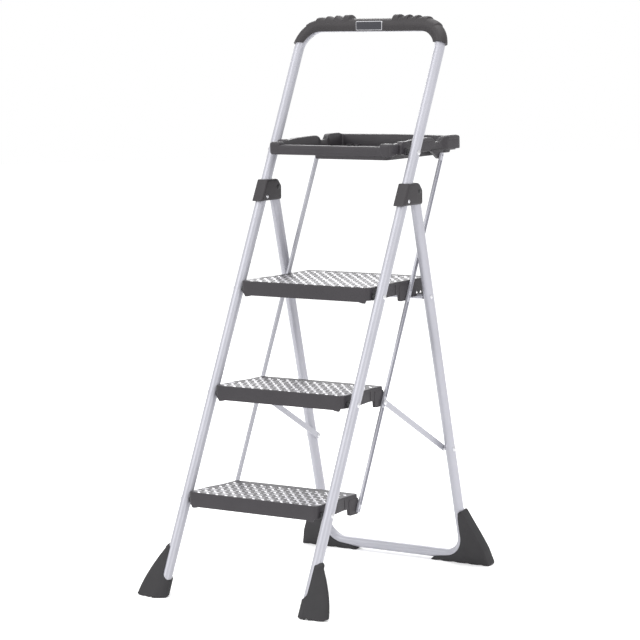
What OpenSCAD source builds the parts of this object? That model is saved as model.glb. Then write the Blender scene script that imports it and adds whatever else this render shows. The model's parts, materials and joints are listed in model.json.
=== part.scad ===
// Folding platform step ladder: two moulded steps, a moulded platform and a project tray
// between two rails, a rear frame that folds against them, link bars and braces.
// Millimetres, +Z up, steps face -Y. The origin is on the floor at the middle of the box.

/* [Frame] */
// Diameter of the frame tubes
tube_d = 25; // [24:0.5:26]
// Wall thickness of the frame tubes
tube_wall = 1.2; // [1:0.1:2]
// Half the distance between the axes of the two rails
rail_x = 208; // [204:1:214]
// Lean of the front rails from upright, in degrees
rail_lean = 25.2; // [24.9:0.1:25.5]
// Lean of the rear legs from upright, in degrees
leg_lean = 12.4; // [12:0.1:12.8]
// Height of the axis of the handle bar
handle_z = 1320; // [1310:1:1340]
// Bend radius of the handle corners, at the tube axis
handle_bend = 61; // [57:1:66]
// Bend radius of the rear frame's lower corners, at the tube axis
rear_bend = 55; // [50:1:60]
// Height of the axis of the rear crossbar
crossbar_z = 18; // [17:0.5:21]

/* [Steps] */
// Rise from one tread to the next, and height of the first tread
step_rise = 240; // [238:1:242]
// Height of a tread above its pivot
tread_above_pivot = 22; // [21:0.5:23]
// Reach of a tread in front of its pivot
nose_reach = 19; // [17:1:21]
// Depth of the two steps, front to back
step_depth = 181; // [176:1:182]
// Depth of the platform, front to back
platform_depth = 276; // [266:1:280]
// Height of the moulded skirt round each tread
skirt_h = 35; // [33:0.5:36]
// Wall thickness of the mouldings
shell_t = 3; // [2.5:0.5:4]

/* [Tray] */
// Height of the tray pivot
tray_pivot_z = 1026; // [1023:1:1028]
// Reach of the tray behind its pivot
tray_rear = 250; // [242:1:252]
// Height of the top of the tray's rear wall above its pivot
tray_wall_top = 29; // [26:1:30]

/* [Folding] */
// How far each link pivot lies behind the step pivot
link_dy = 152.5; // [151:0.5:154]
// How far each link pivot lies below the step pivot
link_drop = 16; // [16:0.5:18]
// Height of the pivot that joins leg and rail
hinge_z = 935; // [932:1:938]
// Height of the brace pivot on the rear leg
brace_z = 295; // [291:1:299]
// Width of the link bars
link_w = 11; // [10:0.5:11]
// Width of the braces
brace_w = 14; // [12:0.5:15]

/* [Hidden] */

$fn = 64;
tube_r = tube_d / 2;
bore_r = tube_r - tube_wall;
rail_in = rail_x - tube_r;
rail_out = rail_x + tube_r;
leg_tan = tan(leg_lean);
rail_tan = tan(rail_lean);
far = 400;
gap = 0.3;
running_gap = 0.08;

// Where the front rails' axes and the rear legs' axes meet the floor
toe_reach = 22;
tray_back_y = rail_tan * tray_pivot_z + tray_rear;
rail_y0 = -(tray_back_y - toe_reach) / 2;
leg_y0 = rail_y0 + 681;

// Places along the rails and legs, in the side view as [y, z]
function on_rail(z) = [rail_y0 + rail_tan * z, z];
function on_leg(z) = [leg_y0 - leg_tan * z, z];
pivot_z = [for (i = [1:3]) i * step_rise - tread_above_pivot];
step_pivots = [for (z = pivot_z) on_rail(z)];
tray_pivot = on_rail(tray_pivot_z);
link_offset = [link_dy, -link_drop];
link_pivots = [for (p = concat(step_pivots, [tray_pivot])) p + link_offset];
leg_pivot = on_leg(hinge_z);
brace_pivot = on_leg(brace_z);

// Rivets
rivet_r = 3;
rivet_head_r = 6.5;
rivet_head_h = 2.6;
leg_pin_r = 4;

// Layers across the ladder, as distances from its middle plane
ear_out_0 = rail_out + 0.5;
ear_t = 3.2;
ear_in_1 = rail_in - 0.5;
ear_in_0 = ear_in_1 - ear_t;
step_side = 188;
step_rear_side = 180;
link_0 = 181.5;
link_1 = 186.5;
brace_0 = 187;
brace_1 = 190;

module mirror_x() {
    children();
    mirror([1, 0, 0]) children();
}

module on_side(side) {
    scale_x = side < 0 ? 1 : 0;
    mirror([scale_x, 0, 0]) children();
}

// Stand a side-view outline, drawn as (y, z), between two distances from the middle plane
module across(x0, x1) {
    translate([x0, 0, 0]) rotate([90, 0, 90]) linear_extrude(x1 - x0) children();
}

// A round bar or hole across the ladder at a side-view point
module pin(p, r, x0, x1) {
    translate([x0, p[0], p[1]]) rotate([0, 90, 0]) cylinder(r = r, h = x1 - x0);
}

// Domed rivet head whose flat side is at x0, with the dome towards +X
module rivet_head(p, x0, r = rivet_head_r, h = rivet_head_h) {
    dome_r = (r * r + h * h) / (2 * h);
    translate([x0, p[0], p[1]]) rotate([0, 90, 0])
        intersection() {
            translate([0, 0, h - dome_r]) sphere(r = dome_r);
            cylinder(r = r, h = h);
        }
}

// Side-view frames: X stays, Y lies behind the tube, Z runs up along it
module along_rail(s = 0) {
    translate([0, rail_y0, 0]) rotate([-rail_lean, 0, 0]) translate([0, 0, s]) children();
}

module along_leg(t = 0) {
    translate([0, leg_y0, 0]) rotate([leg_lean, 0, 0]) translate([0, 0, t]) children();
}

// U of round bar in the plane of X and Z: two uprights, two bends and a crossbar
module u_bar(r, half_w, open_end, cross, bend) {
    dir = cross > open_end ? 1 : -1;
    low = min(open_end, cross - dir * bend);
    straight = abs(cross - dir * bend - open_end);
    mirror_x() {
        translate([half_w, 0, low]) cylinder(r = r, h = straight);
        translate([half_w - bend, 0, cross - dir * bend]) rotate([dir * 90, 0, 0])
            rotate_extrude(angle = 90) translate([bend, 0]) circle(r = r);
    }
    translate([bend - half_w, 0, cross]) rotate([0, 90, 0])
        cylinder(r = r, h = 2 * (half_w - bend));
}

/* ---------------- front frame ---------------- */

rail_foot_s = 14;
handle_s = handle_z / cos(rail_lean);
block_rivet_z = hinge_z - 21;

module front_frame_tube() {
    color([0.73, 0.73, 0.77])
        difference() {
            along_rail() u_bar(tube_r, rail_x, rail_foot_s, handle_s, handle_bend);
            along_rail() u_bar(bore_r, rail_x, rail_foot_s - 1, handle_s, handle_bend);
            for (p = concat(step_pivots, [tray_pivot, on_rail(block_rivet_z)]))
                mirror_x() pin(p, rivet_r, rail_in - 2, rail_out + 2);
        }
}

/* Grip: a moulded shell over the front and top of the handle, open underneath */
grip_r = tube_r + 6;
grip_drop = 45;
crest_x = 74;
hump_r = 11;
hump_rise = 8;
crest_rise = 19;
grip_slot = 2 * (tube_r - 5);

module grip_core() {
    difference() {
        u_bar(grip_r, rail_x, handle_s - handle_bend - 1, handle_s, handle_bend);
        // Both ends are cut level across the bends
        translate([-far, -far, handle_s - grip_drop - far]) cube([2 * far, 2 * far, far]);
    }
}

// A rounded crest across the back half of the grip
module grip_hump(x, z) {
    translate([x, tube_r, z]) rotate([90, 0, 0]) cylinder(r = hump_r, h = tube_r + 6);
}

module handle_grip() {
    reach = handle_bend + tube_r + hump_rise - hump_r;
    color([0.24, 0.24, 0.26])
        difference() {
            along_rail() difference() {
                union() {
                    grip_core();
                    mirror_x() {
                        for (a = [48:22:92])
                            grip_hump(rail_x - handle_bend + reach * cos(a),
                                      handle_s - handle_bend + reach * sin(a));
                        grip_hump(crest_x, handle_s + tube_r + crest_rise - hump_r);
                        grip_hump(crest_x + 30, handle_s + tube_r + hump_rise - hump_r);
                    }
                }
                u_bar(tube_r, rail_x, handle_s - 2 * handle_bend, handle_s, handle_bend);
                grip_underside();
            }
            at_handle() translate([-plaque_w / 2, -grip_r - 1, -plaque_h / 2])
                cube([plaque_w, grip_r + 1 - plaque_back, plaque_h]);
        }
}

// The slot under the grip through which the tube shows
module grip_underside() {
    span = rail_x - handle_bend;
    translate([-span, -grip_slot / 2, handle_s - tube_r - 20])
        cube([2 * span, grip_slot, 20 + tube_r]);
}

plaque_w = 77;
plaque_h = 22;
plaque_back = tube_r + 3;

// The middle of the handle bar, with Z upright
module at_handle() {
    translate([0, on_rail(handle_z)[0], handle_z]) children();
}

// Blank plaque that faces straight forwards
module grip_plaque() {
    color([0.12, 0.12, 0.13])
        at_handle() difference() {
            translate([-plaque_w / 2, -grip_r - 0.6, -plaque_h / 2])
                cube([plaque_w, grip_r + 0.6 - plaque_back, plaque_h]);
            translate([-plaque_w / 2 + 2, -grip_r - 1, -plaque_h / 2 + 2])
                cube([plaque_w - 4, 1, plaque_h - 4]);
        }
}

/* ---------------- hinge blocks ---------------- */

block_s0 = (hinge_z - 35) / cos(rail_lean);
block_h = 56;
sleeve_r = tube_r + 2.5;
ear_r = 15;

// Ear outline in the side view: a plate from the rail back round the leg pivot
module ear_outline() {
    top = on_rail(hinge_z + 8);
    low = on_rail(hinge_z - 27);
    hull() {
        translate(leg_pivot) circle(r = ear_r, $fn = 32);
        translate(leg_pivot - [4, 28]) circle(r = 8, $fn = 32);
        translate(top) circle(r = 9, $fn = 32);
        translate(low) circle(r = 8, $fn = 32);
    }
}

module hinge_block(side) {
    color([0.24, 0.24, 0.26])
        on_side(side) difference() {
            union() {
                along_rail(block_s0) translate([rail_x, 0, 0]) cylinder(r = sleeve_r, h = block_h);
                across(ear_in_0, ear_in_1) ear_outline();
                across(ear_out_0, ear_out_0 + ear_t) ear_outline();
            }
            along_rail(block_s0 - 20)
                translate([rail_x, 0, 0]) cylinder(r = tube_r, h = block_h + 50);
            pin(leg_pivot, leg_pin_r, ear_in_0 - 5, ear_out_0 + ear_t + 5);
            pin(on_rail(block_rivet_z), rivet_r, ear_in_0 - 5, ear_out_0 + ear_t + 5);
        }
}

module hinge_block_left() {
    hinge_block(-1);
}

module hinge_block_right() {
    hinge_block(1);
}

// Rivet right through between two faces across the ladder, with a head at each end
module through_rivet(p, x0, x1, r, head_r, inner_head_r) {
    pin(p, r, x0, x1);
    rivet_head(p, x1, head_r);
    translate([x0, 0, 0]) mirror([1, 0, 0]) rivet_head(p, 0, inner_head_r);
}

module hinge_block_rivets() {
    color([0.7, 0.7, 0.72])
        mirror_x() through_rivet(on_rail(block_rivet_z), ear_in_0, ear_out_0 + ear_t, rivet_r, 5, 5);
}

module leg_pivot_pins() {
    color([0.2, 0.2, 0.22])
        mirror_x() through_rivet(leg_pivot, ear_in_0, ear_out_0 + ear_t, leg_pin_r, 7, 7);
}

/* ---------------- front feet ---------------- */

front_foot_h = 112;
foot_fin_t = 9;
foot_tip = [270, -8];

module front_foot(side) {
    socket_r = tube_r + 2.5;
    color([0.27, 0.27, 0.29])
        on_side(side) translate([0, rail_y0, 0]) difference() {
            intersection() {
                union() {
                    rotate([-rail_lean, 0, 0])
                        translate([rail_x, 0, -20]) cylinder(r = socket_r, h = 60);
                    hull() {
                        translate([rail_x, 0, 0]) cylinder(r = socket_r, h = 4, $fn = 32);
                        translate([foot_tip[0] - 6, foot_tip[1], 0])
                            cylinder(r = 14, h = 6, $fn = 32);
                        rotate([-rail_lean, 0, 0])
                            translate([rail_x + 8, -5, front_foot_h])
                            cylinder(r = foot_fin_t - 2, h = 10, $fn = 32);
                        rotate([-rail_lean, 0, 0])
                            translate([rail_x + 6, -8, 20]) cylinder(r = foot_fin_t, h = 30, $fn = 32);
                    }
                }
                translate([0, -far / 2, 0]) cube([far, far, front_foot_h + 6]);
            }
            rotate([-rail_lean, 0, 0])
                translate([rail_x, 0, rail_foot_s]) cylinder(r = tube_r, h = far);
        }
}

module front_foot_left() {
    front_foot(-1);
}

module front_foot_right() {
    front_foot(1);
}

/* ---------------- rear frame ---------------- */

crossbar_t = crossbar_z / cos(leg_lean);
leg_top_t = hinge_z / cos(leg_lean) + 8;
bar_z = pivot_z[2] + tread_above_pivot - skirt_h - 7.5;
bar_r = 6;
bar_centre = on_leg(bar_z) - [5, 0];

module rear_frame_tube() {
    color([0.73, 0.73, 0.77])
        difference() {
            along_leg() u_bar(tube_r, rail_x, leg_top_t, crossbar_t, rear_bend);
            along_leg() u_bar(bore_r, rail_x, leg_top_t + 1, crossbar_t, rear_bend);
            mirror_x() {
                pin(leg_pivot, leg_pin_r + running_gap, rail_in - 2, rail_out + 2);
                pin(brace_pivot, rivet_r, rail_in - 2, rail_out + 2);
                pin(bar_centre, rivet_r, rail_in - 2, rail_out + 2);
            }
        }
}

module leg_end_plugs() {
    color([0.2, 0.2, 0.22])
        mirror_x() difference() {
            along_leg(leg_top_t - 3) translate([rail_x, 0, 0]) {
                cylinder(r = bore_r, h = 3);
                translate([0, 0, 3]) cylinder(r = tube_r - 1, h = 1.2);
            }
            pin(leg_pivot, leg_pin_r + 1, rail_in, rail_out);
        }
}

// Round bar between the legs that carries the rear of the platform
module platform_support_bar() {
    color([0.75, 0.75, 0.79])
        difference() {
            pin(bar_centre, bar_r, -rail_in, rail_in);
            along_leg() mirror_x() translate([rail_x, 0, 0]) cylinder(r = tube_r, h = far * 3);
            mirror_x() pin(bar_centre, rivet_r, rail_in - 18, rail_in + 5);
        }
}

module support_bar_rivets() {
    color([0.7, 0.7, 0.72])
        mirror_x() {
            pin(bar_centre, rivet_r, rail_in - 18, rail_out - 1);
            rivet_head(bar_centre, rail_out - 1, 5);
        }
}

/* Rear feet: a fin outside each lower bend that runs in under the crossbar */
rear_foot_top = 140;
rear_foot_in = 112;
rear_foot_tip = 285;
rear_foot_t = 30;

module rear_foot_outline() {
    polygon([[rear_foot_in, -10], [rear_foot_in, crossbar_t - 4], [rail_x - rear_bend, crossbar_t],
             [rail_x - 12, crossbar_t + 32], [rail_x, rear_bend + crossbar_t],
             [rail_x + 4, rear_foot_top], [rail_out + 3, rear_foot_top],
             [rail_out + 22, 72], [rear_foot_tip - 12, 28], [rear_foot_tip, 8],
             [rear_foot_tip, -10]]);
}

module rear_foot(side) {
    color([0.27, 0.27, 0.29])
        on_side(side) difference() {
            intersection() {
                along_leg() translate([0, rear_foot_t / 2, 0]) rotate([90, 0, 0])
                    linear_extrude(rear_foot_t) rear_foot_outline();
                translate([0, leg_y0 - far / 2, 0]) cube([far, far, far]);
            }
            along_leg() u_bar(tube_r, rail_x, far, crossbar_t, rear_bend);
        }
}

module rear_foot_left() {
    rear_foot(-1);
}

module rear_foot_right() {
    rear_foot(1);
}

/* ---------------- steps and platform ---------------- */

// Mouldings are drawn about their own pivot: Y behind it, Z above it
front_corner_r = 11;
rear_corner_r = 8;
skirt_bottom = tread_above_pivot - skirt_h;
side_skirt_bottom = -8.5;
taper_y0 = 55;
taper_y1 = 105;
rib_t = 2.5;
rib_pitch = 60;
rib_bottom = 4;
rib_h = tread_above_pivot - rib_bottom - shell_t / 2;
boss_r = 9;
lug_t = 9;
lug_in = link_0 - gap - lug_t;
link_head_r = 5;

// Outline of a tread seen from above: it narrows behind the rails, where the link bars pass
module tread_plan(depth, inset = 0) {
    y0 = -nose_reach + inset;
    y1 = depth - nose_reach - inset;
    front_x = step_side - inset - front_corner_r;
    rear_x = step_rear_side - inset - rear_corner_r;
    hull() mirror_x() {
        translate([front_x, y0 + front_corner_r]) circle(r = front_corner_r, $fn = 32);
        translate([front_x, taper_y0]) circle(r = front_corner_r, $fn = 32);
        translate([step_rear_side - inset - 4, taper_y1]) circle(r = 4, $fn = 32);
    }
    hull() mirror_x() {
        translate([step_rear_side - inset - 4, taper_y1]) circle(r = 4, $fn = 32);
        translate([rear_x, y1 - rear_corner_r]) circle(r = rear_corner_r, $fn = 32);
    }
}

// Lug that reaches down behind a moulding to carry its link rivet
module link_lug(lug_top) {
    across(lug_in, lug_in + lug_t)
        hull() {
            translate(link_offset) circle(r = boss_r, $fn = 32);
            translate([link_dy - 32, side_skirt_bottom + 4]) circle(r = 3, $fn = 32);
            translate([link_dy - 14, lug_top]) circle(r = 3, $fn = 32);
        }
}

module pivot_holes() {
    mirror_x() {
        pin([0, 0], rivet_r + running_gap, step_side - 40, step_side + 4);
        pin(link_offset, rivet_r + running_gap, link_0 - 20, link_0 + 2);
        // Room for the rivet's head inside the lug
        pin(link_offset, link_head_r + 1, link_0 - 24, lug_in);
    }
}

module moulded_step(depth) {
    difference() {
        union() {
            difference() {
                translate([0, 0, skirt_bottom]) linear_extrude(skirt_h) tread_plan(depth);
                translate([0, 0, skirt_bottom - 1]) linear_extrude(skirt_h + 1 - shell_t)
                    tread_plan(depth, shell_t);
                // The side skirts are shallower, so that the folded link bars pass behind them
                mirror_x() translate([link_0 - 2, -far, skirt_bottom - 1])
                    cube([far, 2 * far, side_skirt_bottom - skirt_bottom + 1]);
            }
            step_ribs(depth);
            mirror_x() {
                link_lug(tread_above_pivot - 8);
                pin([0, 0], boss_r, step_side - 8, step_side - 1);
            }
        }
        pivot_holes();
    }
}

// Half the width of a tread, at a distance behind its pivot
function half_width(y) = y < taper_y0 ? step_side
    : y > taper_y1 ? step_rear_side
    : step_side - (step_side - step_rear_side) * (y - taper_y0) / (taper_y1 - taper_y0);

// Ribs under the tread, running into its skirt
module step_ribs(depth) {
    y0 = shell_t / 2 - nose_reach;
    for (x = [-2 * rib_pitch:rib_pitch:2 * rib_pitch])
        translate([x - rib_t / 2, y0, rib_bottom]) cube([rib_t, depth - shell_t, rib_h]);
    for (y = [30:rib_pitch:depth - nose_reach - 30]) {
        rib_x = half_width(y) - shell_t / 2;
        translate([-rib_x, y, rib_bottom]) cube([2 * rib_x, rib_t, rib_h]);
    }
}

module at_pivot(p) {
    translate([0, p[0], p[1]]) children();
}

module step_1() {
    color([0.3, 0.3, 0.32]) at_pivot(step_pivots[0]) moulded_step(step_depth);
}

module step_2() {
    color([0.3, 0.3, 0.32]) at_pivot(step_pivots[1]) moulded_step(step_depth);
}

module platform() {
    color([0.3, 0.3, 0.32]) at_pivot(step_pivots[2]) moulded_step(platform_depth);
}

/* ---------------- project tray ---------------- */

tray_front = 61;
tray_side = 178;
tray_corner_r = 10;
tray_rear_r = 22;
tray_wall_t = 5;
tray_bar_top = 15;
tray_bottom = -8;
pod_top = 22;
pod_w = 32;
pod_l = 24;
well_bottom = -18;
well_x0 = -57;
well_x1 = 160;
well_r = 20;
well_y0 = -46;
well_y1 = 210;

module tray_plan(inset = 0) {
    hull() mirror_x() {
        translate([tray_side - tray_corner_r, tray_corner_r - tray_front])
            circle(r = tray_corner_r - inset, $fn = 32);
        translate([tray_side - tray_rear_r, tray_rear - tray_rear_r])
            circle(r = tray_rear_r - inset, $fn = 32);
    }
}

// The well takes up the right-hand part of the floor
module well_plan(inset = 0) {
    hull()
        for (x = [well_x0 + well_r, well_x1 - well_r], y = [well_y0 + well_r, well_y1 - well_r])
            translate([x, y]) circle(r = well_r - inset, $fn = 32);
}

module tray_body() {
    difference() {
        union() {
            translate([0, 0, tray_bottom]) linear_extrude(tray_wall_top - tray_bottom) tray_plan();
            translate([0, 0, well_bottom]) linear_extrude(tray_bottom - well_bottom + 1) well_plan();
            mirror_x() {
                link_lug(0);
                pin([0, 0], boss_r, tray_side - tray_wall_t, step_side);
            }
        }
        // Inside of the pan, and of the well in its floor
        translate([0, 0, tray_bottom + shell_t]) linear_extrude(far) tray_plan(tray_wall_t);
        translate([0, 0, well_bottom + shell_t]) linear_extrude(far) well_plan(shell_t);
        // The front is lower, with a pod left standing at each corner
        translate([pod_w - tray_side, -far, tray_bar_top])
            cube([2 * (tray_side - pod_w), far - tray_front + pod_l, far]);
        translate([-far, -far, pod_top]) cube([2 * far, far - tray_front + pod_l, far]);
        // Tool notches in the side walls
        for (x = [-far, tray_side - 2 * tray_wall_t])
            translate([x, link_dy - 11, tray_wall_top - 14]) cube([far, 16, 30]);
        pivot_holes();
    }
}

module tray() {
    color([0.28, 0.28, 0.3]) at_pivot(tray_pivot) tray_body();
}

/* ---------------- pivots of the steps and tray ---------------- */

// Headed at the outside of the rail, and upset inside the moulding's boss
module step_rivets(p, x0) {
    mirror_x() through_rivet(p, x0, rail_out - 0.6, rivet_r, rivet_head_r, 4.5);
}

module step_1_rivets() {
    color([0.7, 0.7, 0.72]) step_rivets(step_pivots[0], step_side - 8.4);
}

module step_2_rivets() {
    color([0.7, 0.7, 0.72]) step_rivets(step_pivots[1], step_side - 8.4);
}

module platform_rivets() {
    color([0.7, 0.7, 0.72]) step_rivets(step_pivots[2], step_side - 8.4);
}

module tray_rivets() {
    color([0.7, 0.7, 0.72]) step_rivets(tray_pivot, tray_side - tray_wall_t - 0.4);
}

module pivot_spacers() {
    color([0.2, 0.2, 0.22])
        for (p = concat(step_pivots, [tray_pivot]))
            mirror_x() difference() {
                pin(p, 7, step_side + gap, rail_in + 0.4);
                pin(p, rivet_r, step_side, rail_in + 2);
                along_rail() translate([rail_x, 0, 0]) cylinder(r = tube_r, h = far * 3);
            }
}

/* ---------------- links ---------------- */

module link_bar(side) {
    low = link_pivots[0];
    high = link_pivots[3];
    channel_t = 1.4;
    color([0.72, 0.72, 0.76])
        on_side(side) difference() {
            across(link_0, link_1) bar_outline(low, high, link_w);
            // The bar is a shallow channel, open towards the outside between its pivots
            for (i = [0:2])
                across(link_0 + channel_t, link_1 + 1)
                    bar_between(link_pivots[i], link_pivots[i + 1], link_w - 2 * channel_t, 14);
            for (p = link_pivots) pin(p, rivet_r, link_0 - 1, link_1 + 1);
        }
}

// Flat bar with round ends between two pivots
module bar_outline(p, q, w) {
    run = q - p;
    translate(p) rotate(atan2(run[1], run[0])) {
        translate([0, -w / 2]) square([norm(run), w]);
        circle(r = w / 2);
        translate([norm(run), 0]) circle(r = w / 2);
    }
}

// The stretch of such a bar that stays clear of both pivots
module bar_between(p, q, w, clear_len) {
    run = q - p;
    translate(p) rotate(atan2(run[1], run[0]))
        translate([clear_len, -w / 2]) square([norm(run) - 2 * clear_len, w]);
}

module link_bar_left() {
    link_bar(-1);
}

module link_bar_right() {
    link_bar(1);
}

module link_rivets() {
    color([0.7, 0.7, 0.72])
        for (p = link_pivots) mirror_x() {
            pin(p, rivet_r, lug_in - gap, link_1 - 1.6);
            translate([lug_in - gap, 0, 0]) mirror([1, 0, 0]) rivet_head(p, 0, link_head_r);
        }
}

/* ---------------- braces ---------------- */

module brace(side) {
    color([0.68, 0.68, 0.72])
        on_side(side) difference() {
            across(brace_0, brace_1) bar_outline(link_pivots[1], brace_pivot, brace_w);
            pin(link_pivots[1], rivet_r, brace_0 - 1, brace_1 + 1);
            pin(brace_pivot, rivet_r + running_gap, brace_0 - 1, brace_1 + 1);
        }
}

module brace_left() {
    brace(-1);
}

module brace_right() {
    brace(1);
}

module brace_leg_rivets() {
    color([0.7, 0.7, 0.72])
        mirror_x() {
            through_rivet(brace_pivot, brace_0 - gap, rail_out - 0.6, rivet_r, rivet_head_r, rivet_head_r);
            difference() {
                pin(brace_pivot, 6, brace_1 + gap, rail_in + 0.4);
                along_leg() translate([rail_x, 0, 0]) cylinder(r = tube_r, h = far * 3);
            }
        }
}

module brace_front_rivets() {
    color([0.7, 0.7, 0.72])
        mirror_x() {
            pin(link_pivots[1], rivet_r, brace_0, brace_1);
            rivet_head(link_pivots[1], brace_1, 6.5, 2);
        }
}

front_frame_tube();
handle_grip();
grip_plaque();
hinge_block_left();
hinge_block_right();
hinge_block_rivets();
leg_pivot_pins();
front_foot_left();
front_foot_right();
rear_frame_tube();
leg_end_plugs();
platform_support_bar();
support_bar_rivets();
rear_foot_left();
rear_foot_right();
step_1();
step_2();
platform();
tray();
step_1_rivets();
step_2_rivets();
platform_rivets();
tray_rivets();
pivot_spacers();
link_bar_left();
link_bar_right();
link_rivets();
brace_left();
brace_right();
brace_leg_rivets();
brace_front_rivets();
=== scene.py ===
"""Looks of the folding platform step ladder. Lengths are worked in millimetres and stored in metres."""
import math
import bmesh
import bpy
import numpy as np
from mathutils import Matrix, Vector
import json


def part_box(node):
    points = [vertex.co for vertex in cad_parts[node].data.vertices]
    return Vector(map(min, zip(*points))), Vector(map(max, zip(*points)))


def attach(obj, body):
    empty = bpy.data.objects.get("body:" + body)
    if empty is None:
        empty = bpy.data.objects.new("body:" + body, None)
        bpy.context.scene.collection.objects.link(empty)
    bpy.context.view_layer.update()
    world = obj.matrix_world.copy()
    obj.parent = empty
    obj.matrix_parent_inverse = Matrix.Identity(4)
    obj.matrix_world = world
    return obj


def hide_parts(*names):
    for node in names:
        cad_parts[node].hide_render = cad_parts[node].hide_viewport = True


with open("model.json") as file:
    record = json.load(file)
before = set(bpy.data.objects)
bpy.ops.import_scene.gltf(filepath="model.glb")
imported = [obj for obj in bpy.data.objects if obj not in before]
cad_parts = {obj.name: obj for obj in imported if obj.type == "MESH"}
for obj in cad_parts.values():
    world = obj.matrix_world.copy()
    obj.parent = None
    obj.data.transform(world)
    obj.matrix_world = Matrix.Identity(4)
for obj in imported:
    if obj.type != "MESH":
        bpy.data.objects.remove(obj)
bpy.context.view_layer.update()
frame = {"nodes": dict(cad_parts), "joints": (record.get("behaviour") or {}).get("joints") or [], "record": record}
MM = 0.001
# Edges that turn by more than this many degrees are shaded as edges
SHARP = 32

# ---------------------------------------------------------------- places taken from the frame
pivot = {j["name"]: np.array(j["pos_m"]) * 1000 for j in frame["joints"]}
P1, P2, P3, PT = (pivot[n] for n in ("step_1_fold", "step_2_fold", "platform_fold", "tray_fold"))
HINGE, BRACE = pivot["rear_frame_fold"], pivot["braces_swing"]
UP_RAIL = (PT - P1) / np.linalg.norm(PT - P1)
BACK_RAIL = np.array([0, UP_RAIL[2], -UP_RAIL[1]])
LEAN = math.atan2(UP_RAIL[1], UP_RAIL[2])
UP_LEG = (HINGE - BRACE) / np.linalg.norm(HINGE - BRACE)
BACK_LEG = np.array([0, UP_LEG[2], -UP_LEG[1]])
RAIL_FOOT = P1 - UP_RAIL * P1[2] / UP_RAIL[2]
RAIL_RUN = UP_RAIL[1] / UP_RAIL[2]
LEG_FOOT = BRACE - UP_LEG * BRACE[2] / UP_LEG[2]
tube_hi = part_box("front_frame_tube")[1] * 1000
TUBE_R = 12.5
# Air between a tube and the piece that is bored for it
TUBE_GAP = 0.1
RAIL_X = tube_hi.x - TUBE_R
BEND = 61
GRIP_DROP = 45
HANDLE_Z = tube_hi.z - TUBE_R
HANDLE_S = (HANDLE_Z - RAIL_FOOT[2]) / UP_RAIL[2]
CROSS_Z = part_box("rear_frame_tube")[0].z * 1000 + TUBE_R
REAR_BEND = 55


def rail_point(side, s):
    """A point on a rail's axis, s along it from the floor."""
    return np.array([side * RAIL_X, *(RAIL_FOOT + UP_RAIL * s)[1:]])


def rail_y(z):
    """How far back the rails' axes are at a height."""
    return RAIL_FOOT[1] + RAIL_RUN * z


def rear_of(node, p):
    """How far a CAD node reaches behind the point p."""
    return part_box(node)[1].y * 1000 - p[1]


# ---------------------------------------------------------------- mesh helpers
class Shape:
    """Collects vertices and faces, in millimetres."""

    def __init__(self):
        self.verts, self.faces, self.mats = [], [], []

    def add(self, verts, faces, mat=0):
        base = len(self.verts)
        self.verts += [tuple(v) for v in verts]
        self.faces += [tuple(base + i for i in f) for f in faces]
        self.mats += [mat] * len(faces)

    def loft(self, rings, mat=0, caps=(True, True)):
        """A skin through closed rings of equal length, with a cap at either end."""
        n = len(rings[0])
        faces = []
        for k in range(len(rings) - 1):
            for i in range(n):
                j = (i + 1) % n
                faces.append((k * n + i, k * n + j, (k + 1) * n + j, (k + 1) * n + i))
        if caps[0]:
            faces.append(tuple(range(n - 1, -1, -1)))
        if caps[1]:
            faces.append(tuple((len(rings) - 1) * n + i for i in range(n)))
        self.add([p for r in rings for p in r], faces, mat)

    def slab(self, ring, lo, hi, bevel, place, mat=0, steps=3):
        """A plate with rounded edges: ring is its outline, and place(u, v, w) puts a point."""
        rings = []
        for k in range(steps + 1):
            a = math.pi / 2 * k / steps
            rings.append((inset(ring, bevel * (1 - math.sin(a))), lo + bevel * (1 - math.cos(a))))
        for k in range(steps, -1, -1):
            a = math.pi / 2 * k / steps
            rings.append((inset(ring, bevel * (1 - math.sin(a))), hi - bevel * (1 - math.cos(a))))
        self.loft([[place(u, v, w) for u, v in r] for r, w in rings], mat)

    def moved(self, p):
        """The same shape carried to the point p."""
        other = Shape()
        other.verts = [(x + p[0], y + p[1], z + p[2]) for x, y, z in self.verts]
        other.faces, other.mats = self.faces, self.mats
        return other


def inset(ring, d):
    """The closed outline moved inwards by d; it runs anticlockwise."""
    p = np.array(ring, float)
    if abs(d) < 1e-9:
        return p
    a, b = p - np.roll(p, 1, 0), np.roll(p, -1, 0) - p
    a /= np.maximum(np.linalg.norm(a, axis=1, keepdims=True), 1e-9)
    b /= np.maximum(np.linalg.norm(b, axis=1, keepdims=True), 1e-9)
    t = a + b
    t /= np.maximum(np.linalg.norm(t, axis=1, keepdims=True), 1e-9)
    k = np.maximum((a * t).sum(1, keepdims=True), 0.5)
    return p + d / k * np.stack([-t[:, 1], t[:, 0]], 1)


def rounded(points, radii, seg=6):
    """An anticlockwise outline through points, with each corner rounded to its radius."""
    out, n = [], len(points)
    for i in range(n):
        p = np.array(points[i], float)
        r = radii[i] if hasattr(radii, "__len__") else radii
        a, b = np.array(points[i - 1], float) - p, np.array(points[(i + 1) % n], float) - p
        la, lb = np.linalg.norm(a), np.linalg.norm(b)
        a, b = a / la, b / lb
        half = math.acos(max(-1, min(1, float(a @ b)))) / 2
        cut = min(r / max(math.tan(half), 1e-3), 0.49 * la, 0.49 * lb)
        if r < 0.01 or half > 1.55:
            out.append(p)
            continue
        q0, q1 = p + a * cut, p + b * cut
        for k in range(seg + 1):
            t = k / seg
            out.append((1 - t) ** 2 * q0 + 2 * t * (1 - t) * p + t * t * q1)
    return out


def turn_angles(n):
    """n equal steps round a full turn."""
    return np.linspace(0, 2 * math.pi, n, endpoint=False)


def disc(c, r, n=28):
    return [(c[0] + r * math.cos(a), c[1] + r * math.sin(a)) for a in turn_angles(n)]


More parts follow.
